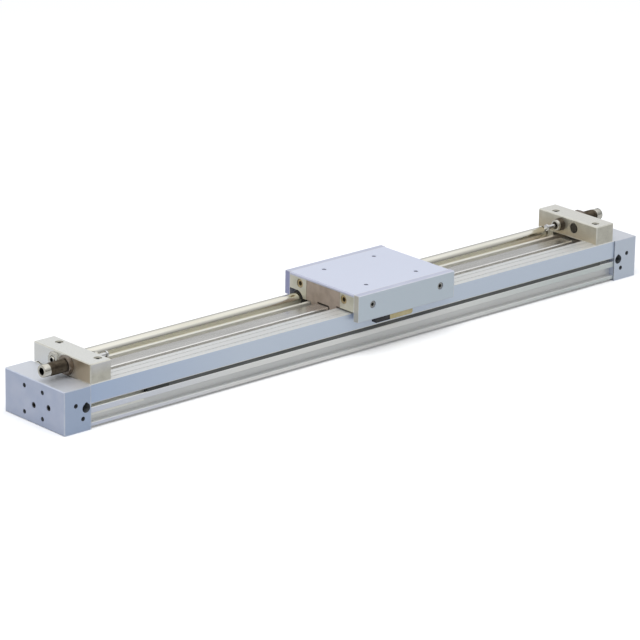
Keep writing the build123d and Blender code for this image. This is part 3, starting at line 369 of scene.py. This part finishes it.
plates = finish(
    "plate_anodised", ((0.560, 0.625, 0.790), (0.625, 0.680, 0.830)), metal=0.55, rough=0.40,
    grain=0.30, depth=0.010, cloud=16.0,
)
# Painted shade: the threads and plugs are near black, so that the holes read as dark
shaded_cut_metal = finish(
    "cut_thread", ((0.070, 0.078, 0.085), (0.115, 0.125, 0.135)), metal=0.5, rough=0.45,
    grain=0.4, depth=0.004, cloud=3.0,
)
black_steel = finish(
    "black_oxide", ((0.030, 0.028, 0.027), (0.065, 0.058, 0.052)), metal=0.75, rough=0.36,
    grain=0.25, depth=0.005, cloud=2.5,
)
# Painted shade in the screw sockets
paint_socket_shade(black_steel, (0.012, 0.012, 0.012))
sides = ((-1, "left"), (1, "right"))
# Painted light: the tone of each plate's front, darker at the left than at the right
front_tones = {"left": (0.470, 0.565, 0.735), "right": (0.670, 0.740, 0.840)}
end_x, _, plate_top = corners("end_plate_right")[1]
# Tapped holes: the tapping radius and the pitch of each thread, then the places of the holes
m5, m6 = {"radius": 2.1, "pitch": 0.8}, {"radius": 2.5, "pitch": 1.0}
port_thread = {"radius": 4.285, "pitch": 0.907}
end_hole_ys, end_hole_zs = (-11.0, 14.0), (7.5, 31.5)
front_holes = ((12.4, 25.0), (20.2, 11.7))        # distance from the end face, and height
foot_hole_x, foot_hole_ys = 335.5, (-30.0, 30.0)
port_from_end, port_z = 23.8, 20.8
plate_screw_places, plate_screw_sink = ((-19.5, 20.0), (1.0, 17.0)), 0.4
for side, name in sides:
    plate = f"end_plate_{name}"
    low, high = corners(plate)
    front_y, joint_face = low[1], slice_at(side * body_half)
    own_skin = own_copy(plates, name)
    # Painted light: the top face is tinted lighter, each front gets its own tone, and the edges get a
    # painted highlight
    tint_inside(own_skin, (-end_x, end_x), (-42, 42), slice_at(plate_top, 0.05), (0.76, 0.785, 0.84))
    tint_inside(own_skin, (-end_x, end_x), slice_at(front_y), (0.5, plate_top - 0.5), front_tones[name])
    # Painted shade and reflection: the face that meets the frame is dark at the rim that stands out, and
    # warm inside the trough
    tint_inside(own_skin, joint_face, (-42, -40.05), (-1, plate_top), (0.22, 0.25, 0.30))
    tint_inside(own_skin, joint_face, (-20.5, 40), (13, plate_top - 0.5), (0.88, 0.79, 0.68))
    painted_edge_highlight(own_skin, low, high, width=0.9, colour=(0.80, 0.84, 0.92))
    dress(own_skin, plate)
    dress(shaded_cut_metal, f"passage_plug_{name}")
    # Threads: four in the end face, two in the front, two in the foot, and the air port
    inward = (-side, 0, 0)
    holes = [
        tapped_hole((side * end_x, y, z), inward, depth=9.8, **m5)
        for y in end_hole_ys for z in end_hole_zs
    ]
    for from_end, z in front_holes:
        holes.append(tapped_hole((side * (end_x - from_end), front_y, z), (0, 1, 0), depth=5.8, **m5))
    for y in foot_hole_ys:
        holes.append(tapped_hole((side * foot_hole_x, y, 0), (0, 0, 1), depth=11.8, **m6))
    port = (side * (end_x - port_from_end), front_y, port_z)
    holes.append(tapped_hole(port, (0, 1, 0), depth=9.8, **port_thread))
    skin(f"plate_threads_{name}", holes, "frame", shaded_cut_metal)
    screws = [
        socket_screw(
            (side * (end_x - plate_screw_sink), y, z), inward,
            head_r=2.6, head=3.5, shank_r=1.6, length=40.6, socket_r=1.44, socket=1.7,
        )
        for y, z in plate_screw_places
    ]
    replaced = [f"plate_screws_{name}"]
    skin(f"plate_screw_set_{name}", screws, "frame", black_steel, replaced, hollow=3)

# Guide rail: hardened steel, ground along its length, in a groove profile for the balls of the block.
# Ten socket screws hold it down on its pedestal, under caps that are pressed in flush and ground over.
ground_steel = finish(
    "ground_steel", ((0.66, 0.65, 0.62), (0.74, 0.73, 0.70)), metal=0.95, rough=0.24,
    grain=(5.0, 0.12, 0.12), depth=0.003, cloud=(60.0, 6.0, 6.0),
)
# Painted light: the rail's front flank is tinted brighter, where light from the front would fall on it
rail_front = (-9.8, -8.6)
tint_inside(ground_steel, (-body_half, body_half), rail_front, (26, 37.8), (0.97, 0.96, 0.94))
dress(ground_steel, "guide_rail", "rail_caps", "guide_block")
dress(black_steel, "rail_screws")

# Cylinder tube: thin drawn stainless tube, bright and smooth, fixed in the end plates by sealed plugs.
# Drawing leaves faint lines along it. The piston runs inside it.
drawn_steel = finish(
    "drawn_stainless", ((0.80, 0.775, 0.675), (0.88, 0.86, 0.775)), metal=1.0, rough=0.15,
    grain=(12.0, 0.10, 0.10), depth=0.0015, cloud=(90.0, 5.0, 5.0), rough_drift=0.03,
)
rubber = finish(
    "black_rubber", ((0.018, 0.018, 0.018), (0.035, 0.034, 0.033)), metal=0.0, rough=0.62,
    grain=0.3, depth=0.010, cloud=4.0,
)
tube_y, tube_z, tube_r, tube_bore_r = 33.5, 35.0, 6.0, 5.0
tube_rows = [
    (-body_half, tube_r), (body_half, tube_r), (body_half, tube_bore_r), (-body_half, tube_bore_r),
    (-body_half, tube_r),
]
tube = turned(tube_rows, around(96), (0, tube_y, tube_z), (1, 0, 0))
skin("drawn_tube", [tube], "frame", drawn_steel, ["cylinder_tube"])
dress(shaded_cut_metal, "tube_plug_left", "tube_plug_right")
dress(rubber, "tube_seals")


# Stop holders: steel bars across the frame, nickel plated to a warm grey, each with two screws.
# Each carries a shock absorber and a stop bolt, screwed in and held by a lock nut.
def threaded_rod(before, after, start, end, major, pitch, depth, turn, origin, axis):
    """A rod with an outside thread from start to end, between turned rows before and after it. The
    thread's crest lies at the radius major and its root lies depth below that, where its fades end."""
    station = np.arange(start, end, pitch / 6)
    thread = major - depth * (1 - ridge(station, turn, pitch))
    return np.concatenate([
        turned(before, turn, origin, axis), lathe(station, thread, turn, origin, axis),
        turned(after, turn, origin, axis),
    ])


def lock_nut(origin, axis, flats, thickness, bore_r):
    """A hexagon nut: its side is the smaller of the hexagon and of a cone that bevels both faces. At a
    face the cone is 0.97 of the width across flats, and its radius grows by 1.5 mm for each mm inwards."""
    turn = around(96)
    station = np.array([0, 0.3, 0.6, 1.1, thickness - 1.1, thickness - 0.6, thickness - 0.3, thickness])
    cone = flats / 2 * 0.97 + np.minimum(station, thickness - station)[:, None] * 1.5
    outer = np.minimum(flats / 2 / np.cos(np.pi / 6) * hexagon(turn), cone)
    bore = np.full((1, len(turn)), bore_r)
    return lathe([0, *station, thickness, 0], np.vstack([bore, outer, bore, bore]), turn, origin, axis)


holder_metal = finish(
    "holder_nickel", ((0.565, 0.550, 0.470), (0.660, 0.645, 0.560)), metal=0.65, rough=0.32,
    grain=0.45, depth=0.006, cloud=9.0,
)
bright_plate = finish(
    "bright_plating", ((0.62, 0.60, 0.53), (0.75, 0.73, 0.66)), metal=0.95, rough=0.20,
    grain=0.5, depth=0.003, cloud=3.0,
)
# Painted shade in the sockets
paint_socket_shade(bright_plate, (0.030, 0.028, 0.024))
burnished = finish(
    "burnished_body", ((0.080, 0.062, 0.042), (0.130, 0.105, 0.075)), metal=0.85, rough=0.30,
    grain=0.3, depth=0.004, cloud=3.0,
)
nut_brown = finish(
    "burnished_nut", ((0.210, 0.170, 0.135), (0.290, 0.240, 0.195)), metal=0.85, rough=0.22,
    grain=0.3, depth=0.003, cloud=3.0,
)
chrome = finish(
    "hard_chrome", ((0.72, 0.72, 0.72), (0.80, 0.80, 0.80)), metal=1.0, rough=0.10,
    grain=(0.4, 0.1, 0.1), depth=0.001, cloud=5.0, rough_drift=0.02,
)
urethane = finish(
    "bumper_urethane", ((0.026, 0.022, 0.014), (0.042, 0.035, 0.022)), metal=0.0, rough=0.45,
    grain=0.5, depth=0.008, cloud=2.0,
)
# Painted light: tones of the holders' top faces
top_tones = {"left": (0.890, 0.890, 0.850), "right": (0.900, 0.885, 0.820)}
stop_y, stop_z = 8.75, 50.0
holder_out, _, holder_top = corners("stop_holder_right")[1]
absorber_end, bolt_end = (corners(name)[1][0] for name in ("shock_absorber_right", "stop_bolt_right"))
rod_tip, bumper_tip = (corners(name)[0][0] for name in ("absorber_rod_right", "stop_bumper_right"))
screw_x, screw_top = 304.5, holder_top - 0.5
front_screw, back_screw = (-30.0, 2.0, 24.8), (23.1, 1.8, 47.8)        # y, shank radius and length
screw_head = {"head_r": 3.6, "head": 4.6, "socket_r": 1.73, "socket": 2.6}
ring_rows = [
    (5.0, 0), (5.0, 3.4, 1), (0.4, 3.4, 1), (0, 3.75, 0.2), (0, 5.2), (0.15, 5.5), (0.5, 5.7), (6.5, 5.7),
    (6.9, 5.4), (6.9, 0),
]
nose_rows = [(57.4, 3.6), (57.4, 5.2), (59.6, 5.2), (59.9, 4.95), (60.0, 4.6), (60.0, 3.6), (57.4, 3.6)]
rod_rows = [
    (0, 0), (0, 2.3), (0.12, 2.75), (0.4, 3.08), (0.8, 3.2), (1.8, 3.2), (2.1, 3.05), (2.2, 2.8),
    (2.2, 2.0), (22.0, 2.0), (22.0, 0),
]
bumper_rows = [(0, 0), (0, 3.5), (0.15, 4.0), (0.5, 4.3), (0.9, 4.4), (3.9, 4.4), (4.0, 4.2), (4.0, 0)]
turn = around(64)
for side, name in sides:
    inward, outward = (-side, 0, 0), (side, 0, 0)
    absorber_y, bolt_y = side * stop_y, -side * stop_y
    holder = f"stop_holder_{name}"
    low, high = corners(holder)
    low[2] = plate_top        # the bar alone, without the feet that reach down into the frame
    outer_face, inner_face = slice_at(side * holder_out), slice_at(side * holder_in)
    length, across = sorted((side * holder_in, side * holder_out)), (-41, 41)
    above_plate, above_floor = (38, holder_top), (20, holder_top)
    own_nickel = own_copy(holder_metal, name)
    # Painted light and reflection: the outer face lighter and brown towards the front, the inner face brown
    # towards its foot,
    # the top lighter, the left holder's front lighter towards the top, and the edges get a painted
    # highlight
    tint_inside(own_nickel, outer_face, across, above_plate, (0.900, 0.905, 0.880))
    tint_inside(own_nickel, outer_face, across, above_plate, (0.585, 0.485, 0.345), ("Y", 0, side * 22))
    tint_inside(own_nickel, inner_face, across, above_floor, (0.590, 0.515, 0.380), ("Z", 60, 42))
    tint_inside(own_nickel, length, across, slice_at(holder_top), top_tones[name])
    if name == "left":
        tint_inside(own_nickel, length, slice_at(low[1]), above_plate, (0.690, 0.690, 0.710), ("Z", 47, 60))
    painted_edge_highlight(own_nickel, low, high, width=1.1, colour=(0.80, 0.79, 0.72))
    dress(own_nickel, holder)
    # Two socket screws, sunk in the top: the front one goes into the wall, the back one to the floor
    skin(f"holder_screw_set_{name}", [
        socket_screw((side * screw_x, y, screw_top), (0, 0, -1), shank_r=r, length=reach, **screw_head)
        for y, r, reach in (front_screw, back_screw)
    ], "frame", bright_plate, [f"holder_screws_{name}"], hollow=3)
    skin(f"absorber_lock_{name}", [
        lock_nut((side * holder_out, absorber_y, stop_z), outward, flats=16.0, thickness=5.0, bore_r=6.05)
    ], "frame", nut_brown, [f"absorber_nut_{name}"])
    skin(f"bolt_lock_{name}", [
        lock_nut((side * holder_out, bolt_y, stop_z), outward, flats=13.0, thickness=3.5, bore_r=4.05)
    ], "frame", bright_plate, [f"bolt_nut_{name}"])
    # Shock absorber: a bright ring with a hexagon socket, a dark body with a fine thread, a bright nose
    outer_end = (side * absorber_end, absorber_y, stop_z)
    skin(f"absorber_ring_{name}", [
        turned(ring_rows, turn, outer_end, inward)
    ], f"absorber_{name}", bright_plate, hollow=3)
    skin(f"absorber_nose_{name}", [
        turned(nose_rows, turn, outer_end, inward)
    ], f"absorber_{name}", bright_plate)
    skin(f"absorber_body_{name}", [
        threaded_rod(
            before=[(6.9, 0), (6.9, 5.2), (7.4, 5.3)],
            after=[(57.2, 5.3), (57.4, 5.2), (57.4, 2.05), (37, 2.05), (37, 0)],
            start=7.6, end=56.8, major=6.0, pitch=1.0, depth=0.6,
            turn=turn, origin=outer_end, axis=inward,
        )
    ], f"absorber_{name}", burnished, [f"shock_absorber_{name}"])
    # Its rod: hard chrome, with a rounded cap that meets the table
    skin(f"absorber_plunger_{name}", [
        turned(rod_rows, turn, (side * rod_tip, absorber_y, stop_z), outward)
    ], f"rod_{name}", chrome, [f"absorber_rod_{name}"])
    # Stop bolt: plated, with a hexagon socket outside, and a bumper that sits in the holder's recess
    skin(f"stop_bolt_thread_{name}", [
        threaded_rod(
            before=[(4.0, 0), (4.0, 2.3, 1), (0.3, 2.3, 1), (0, 2.5, 0.3), (0, 3.0), (0.5, 3.3)],
            after=[(23.8, 3.3), (24.0, 3.0), (24.0, 0)],
            start=0.8, end=23.3, major=4.0, pitch=1.25, depth=0.7,
            turn=turn, origin=(side * bolt_end, bolt_y, stop_z), axis=inward,
        )
    ], f"stop_{name}", bright_plate, [f"stop_bolt_{name}"], hollow=3)
    skin(f"stop_bolt_bumper_{name}", [
        turned(bumper_rows, turn, (side * bumper_tip, bolt_y, stop_z), outward)
    ], f"stop_{name}", urethane, [f"stop_bumper_{name}"])

# Guide block and magnet slider: the block runs on the rail and the slider round the tube, both under
# the table. Plastic end pieces close the block, and rubber scrapers wipe the tube at the slider's ends.
block_plastic = finish(
    "block_plastic", ((0.045, 0.045, 0.047), (0.065, 0.064, 0.064)), metal=0.0, rough=0.48,
    grain=0.25, depth=0.010, cloud=5.0,
)
slider_alloy = finish(
    "slider_alloy", ((0.50, 0.51, 0.53), (0.58, 0.59, 0.61)), metal=0.7, rough=0.40,
    grain=0.35, depth=0.008, cloud=12.0,
)
magnet_black = finish(
    "magnet_black", ((0.030, 0.031, 0.034), (0.050, 0.050, 0.053)), metal=0.4, rough=0.42,
    grain=0.3, depth=0.006, cloud=4.0,
)
dress(block_plastic, "block_end_left", "block_end_right", "wear_rings")
dress(black_steel, "block_screws")
dress(slider_alloy, "magnet_slider", "pistons")
dress(ground_steel, "drive_pins", "outer_yokes", "inner_yokes", "piston_shaft")
dress(magnet_black, "outer_magnets", "inner_magnets")
dress(rubber, "piston_seals", "piston_bumpers")
lip_rows = [
    (-3.0, 6.05), (-3.0, 7.5), (3.2, 7.5), (3.5, 7.35), (3.7, 6.95), (4.1, 6.9), (4.4, 7.2), (4.9, 7.2),
    (5.2, 6.8), (5.3, 6.2), (5.1, 6.05), (-3.0, 6.05),
]
skin("scraper_lips", [
    turned(lip_rows, turn, (end[0], tube_y, tube_z), (side, 0, 0))
    for side, end in zip((-1, 1), corners("magnet_slider"))
], "table", rubber, ["tube_scrapers"])

# Table: an aluminium top plate with a side plate screwed on at the front and at the back, milled and
# anodised. The end caps are plated steel, each with two yellow screws and a coated strike pad let in.
table_skin = finish(
    "table_anodised", ((0.615, 0.640, 0.775), (0.660, 0.685, 0.815)), metal=0.50, rough=0.42,
    grain=0.30, depth=0.010, cloud=(30.0, 22.0, 22.0),
)
cap_metal = finish(
    "cap_metal", ((0.650, 0.635, 0.520), (0.750, 0.725, 0.610)), metal=0.65, rough=0.34,
    grain=0.45, depth=0.006, cloud=9.0,
)
pad_coat = finish(
    "pad_coating", ((0.450, 0.365, 0.300), (0.550, 0.455, 0.380)), metal=0.35, rough=0.46,
    grain=0.35, depth=0.012, cloud=7.0,
)
yellow_plate = finish(
    "yellow_zinc", ((0.62, 0.49, 0.22), (0.52, 0.40, 0.27)), metal=0.85, rough=0.30,
    grain=0.3, depth=0.004, cloud=1.6,
)
# Painted shade in the sockets of the cap screws
paint_socket_shade(yellow_plate, (0.200, 0.170, 0.110))
grey_steel = finish(
    "grey_steel", ((0.340, 0.345, 0.330), (0.420, 0.425, 0.405)), metal=0.6, rough=0.42,
    grain=0.3, depth=0.004, cloud=2.0,
)
# Painted shade in the sockets of the side screws
paint_socket_shade(grey_steel, (0.130, 0.135, 0.125))
bracket_paint = finish(
    "bracket_yellow", ((0.56, 0.48, 0.26), (0.64, 0.56, 0.34)), metal=0.5, rough=0.38,
    grain=0.4, depth=0.006, cloud=4.0,
)
table_thread = finish(
    "table_thread", ((0.36, 0.375, 0.45), (0.44, 0.455, 0.54)), metal=0.5, rough=0.42,
    grain=0.4, depth=0.004, cloud=3.0,
)
# Painted light: the tone of the end faces of each side plate
end_tones = {"side_plate_front": (0.60, 0.575, 0.50), "side_plate_back": (0.40, 0.42, 0.64)}
for name in ("slide_table", "side_plate_front", "side_plate_back"):
    low, high = corners(name)
    x, y, z = zip(low, high)
    own_skin = own_copy(table_skin, name)
    # Painted light: the top face lighter and bluer, the outside of each side plate bluish green, its ends
    # their own tone, edges highlighted
    if name == "slide_table":
        tint_inside(own_skin, x, y, slice_at(high[2], 0.05), (0.775, 0.815, 0.950))
    else:
        outside = low[1] if name == "side_plate_front" else high[1]
        tint_inside(own_skin, x, slice_at(outside, 0.05), z, (0.650, 0.735, 0.805))
        for end in x:
            tint_inside(own_skin, slice_at(end, 0.05), y, z, end_tones[name])
    painted_edge_highlight(own_skin, low, high, width=0.7, colour=(0.84, 0.85, 0.90))
    dress(own_skin, name)
dress(bracket_paint, "magnet_bracket")
dress(magnet_black, "sensor_magnet")
low, high = corners("slide_table")
table_x, table_half, table_top = (low[0] + high[0]) / 2, (high[0] - low[0]) / 2, high[2]
# Places of the holes and screws: x is counted from the middle of the table
table_hole_xs, table_hole_ys = (-31.0, 31.0), (-28.5, 28.5)
side_screw_xs, side_screw_head_y = (-42.0, 42.0), 49.5
side_screw_rows = ((-1, "front", 47.5), (1, "back", 52.5))
cap_screw_ys, cap_screw_z, cap_screw_sink = (-29.7, 29.7), 50.5, 0.5
skin("table_threads", [
    tapped_hole((table_x + x, y, table_top), (0, 0, -1), depth=8.8, **m5)
    for x in table_hole_xs for y in table_hole_ys
], "table", table_thread)
for side, name, z in side_screw_rows:
    skin(f"side_screw_set_{name}", [
        socket_screw(
            (table_x + x, side * side_screw_head_y, z), (0, -side, 0),
            head_r=3.4, head=4.0, shank_r=1.9, length=14.0, socket_r=1.73, socket=2.4,
        )
        for x in side_screw_xs
    ], "table", grey_steel, [f"side_screws_{name}"], hollow=3)
for side, name in sides:
    cap, pad = f"end_cap_{name}", f"strike_pads_{name}"
    own_cap, own_pad = own_copy(cap_metal, name), own_copy(pad_coat, name)
    # Painted highlights on the edges of the cap and of the strike pad
    painted_edge_highlight(own_cap, *corners(cap), width=0.6, colour=(0.80, 0.79, 0.72))
    painted_edge_highlight(own_pad, *corners(pad), width=0.5, colour=(0.58, 0.51, 0.45))
    dress(own_cap, cap)
    dress(own_pad, pad)
    skin(f"cap_screw_set_{name}", [
        socket_screw(
            (table_x + side * (table_half - cap_screw_sink), y, cap_screw_z), (-side, 0, 0),
            head_r=4.0, head=3.0, shank_r=2.0, length=12.5, socket_r=2.3, socket=2.1,
        )
        for y in cap_screw_ys
    ], "table", yellow_plate, [f"cap_screws_{name}"], hollow=3)

# Floor: a wide pale floor that the cylinder stands on. The camera sees it white and slightly glowing,
# so that it runs into the sky without an edge, and the object gets only a plain grey from it.
floor_paint = bpy.data.materials.new("floor_paint")
floor_paint.use_nodes = True
tree = floor_paint.node_tree
seen = node_of(tree, "LightPath").outputs["Is Camera Ray"]
tone = node_of(tree, "Mix", {0: seen, 6: (0.60, 0.60, 0.60, 1), 7: (1.0, 1.0, 1.0, 1)}, data_type="RGBA")
paint = node_of(tree, "BsdfDiffuse", {"Color": tone.outputs[2]})
lift = node_of(tree, "Math", {0: seen, 1: 0.16}, operation="MULTIPLY")
haze = node_of(tree, "Emission", {"Color": (1, 1, 1, 1), "Strength": lift.outputs[0]})
washed = node_of(tree, "AddShader", {0: paint.outputs[0], 1: haze.outputs[0]})
tree.links.new(washed.outputs[0], tree.nodes["Material Output"].inputs["Surface"])
floor_rows = [(0, reach) for reach in (0, 400, 1500, 6000)]
floor = mesh_object("floor", [turned(floor_rows, turn, (0, 0, 0), (0, 0, 1))], floor_paint)
floor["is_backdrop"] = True

# Grey screen: it stands round the studio where only gloss can see it, darker towards the ground and in
# front. It gives the metal the darker bands that a room gives it, and neither lights nor shades it.
screen_paint = bpy.data.materials.new("screen_paint")
screen_paint.use_nodes = True
tree = screen_paint.node_tree
place = node_of(tree, "TexCoord").outputs["Object"]
height = node_of(tree, "VectorMath", {0: place, 1: (0.0, 0.175, 1.0)}, operation="DOT_PRODUCT")
grey = node_of(tree, "MapRange", {
    "Value": height.outputs["Value"], "From Min": -0.5, "From Max": 4.3, "To Min": 0.15, "To Max": 1.0,
})
glow = node_of(tree, "Emission", {"Color": (0.97, 0.98, 1.0, 1), "Strength": grey.outputs["Result"]})
tree.links.new(glow.outputs[0], tree.nodes["Material Output"].inputs["Surface"])
screen_paint.cycles.emission_sampling = "NONE"
screen_rows = [(20, 4000), (4620, 4000)]
screen = mesh_object("grey_screen", [turned(screen_rows, turn, (0, 0, 0), (0, 0, 1))], screen_paint)
screen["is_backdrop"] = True
screen.visible_camera = screen.visible_diffuse = screen.visible_transmission = False
screen.visible_shadow = screen.visible_volume_scatter = False

# Sky: even and slightly blue in the light that it gives, and plain white where the camera, gloss or
# glass shows it.
world = bpy.data.worlds.new("studio")
bpy.context.scene.world = world
world.use_nodes = True
tree = world.node_tree
path = node_of(tree, "LightPath").outputs
shown = node_of(tree, "Math", {0: path["Is Camera Ray"], 1: path["Is Glossy Ray"]}, operation="MAXIMUM")
shown = node_of(tree, "Math", {0: shown.outputs[0], 1: path["Is Transmission Ray"]}, operation="MAXIMUM")
sky = tree.nodes["Background"]
sky.inputs["Color"].default_value = (0.95, 0.97, 1.0, 1)
sky.inputs["Strength"].default_value = 0.55
white = node_of(tree, "Background", {"Color": (1, 1, 1, 1), "Strength": 1.0})
both = node_of(tree, "MixShader", {0: shown.outputs[0], 1: sky.outputs[0], 2: white.outputs[0]})
tree.links.new(both.outputs[0], tree.nodes["World Output"].inputs["Surface"])

# Lamp: one large soft lamp overhead, a little to the left and to the front. Gloss doesn't see it,
# because flat metal seen from above would otherwise show it and clip.
lamp_data = bpy.data.lights.new("overhead", "AREA")
lamp_data.shape = "RECTANGLE"
lamp_data.size, lamp_data.size_y = 2.6, 2.0
lamp_data.energy = 50.0
lamp = bpy.data.objects.new("overhead", lamp_data)
lamp.location = (-0.4, -0.5, 2.8)
lamp.rotation_euler = (math.radians(10.0), math.radians(-8.0), 0)
lamp.visible_glossy = False
bpy.context.scene.collection.objects.link(lamp)
bpy.context.scene.view_settings.view_transform = "Standard"

low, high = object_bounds()
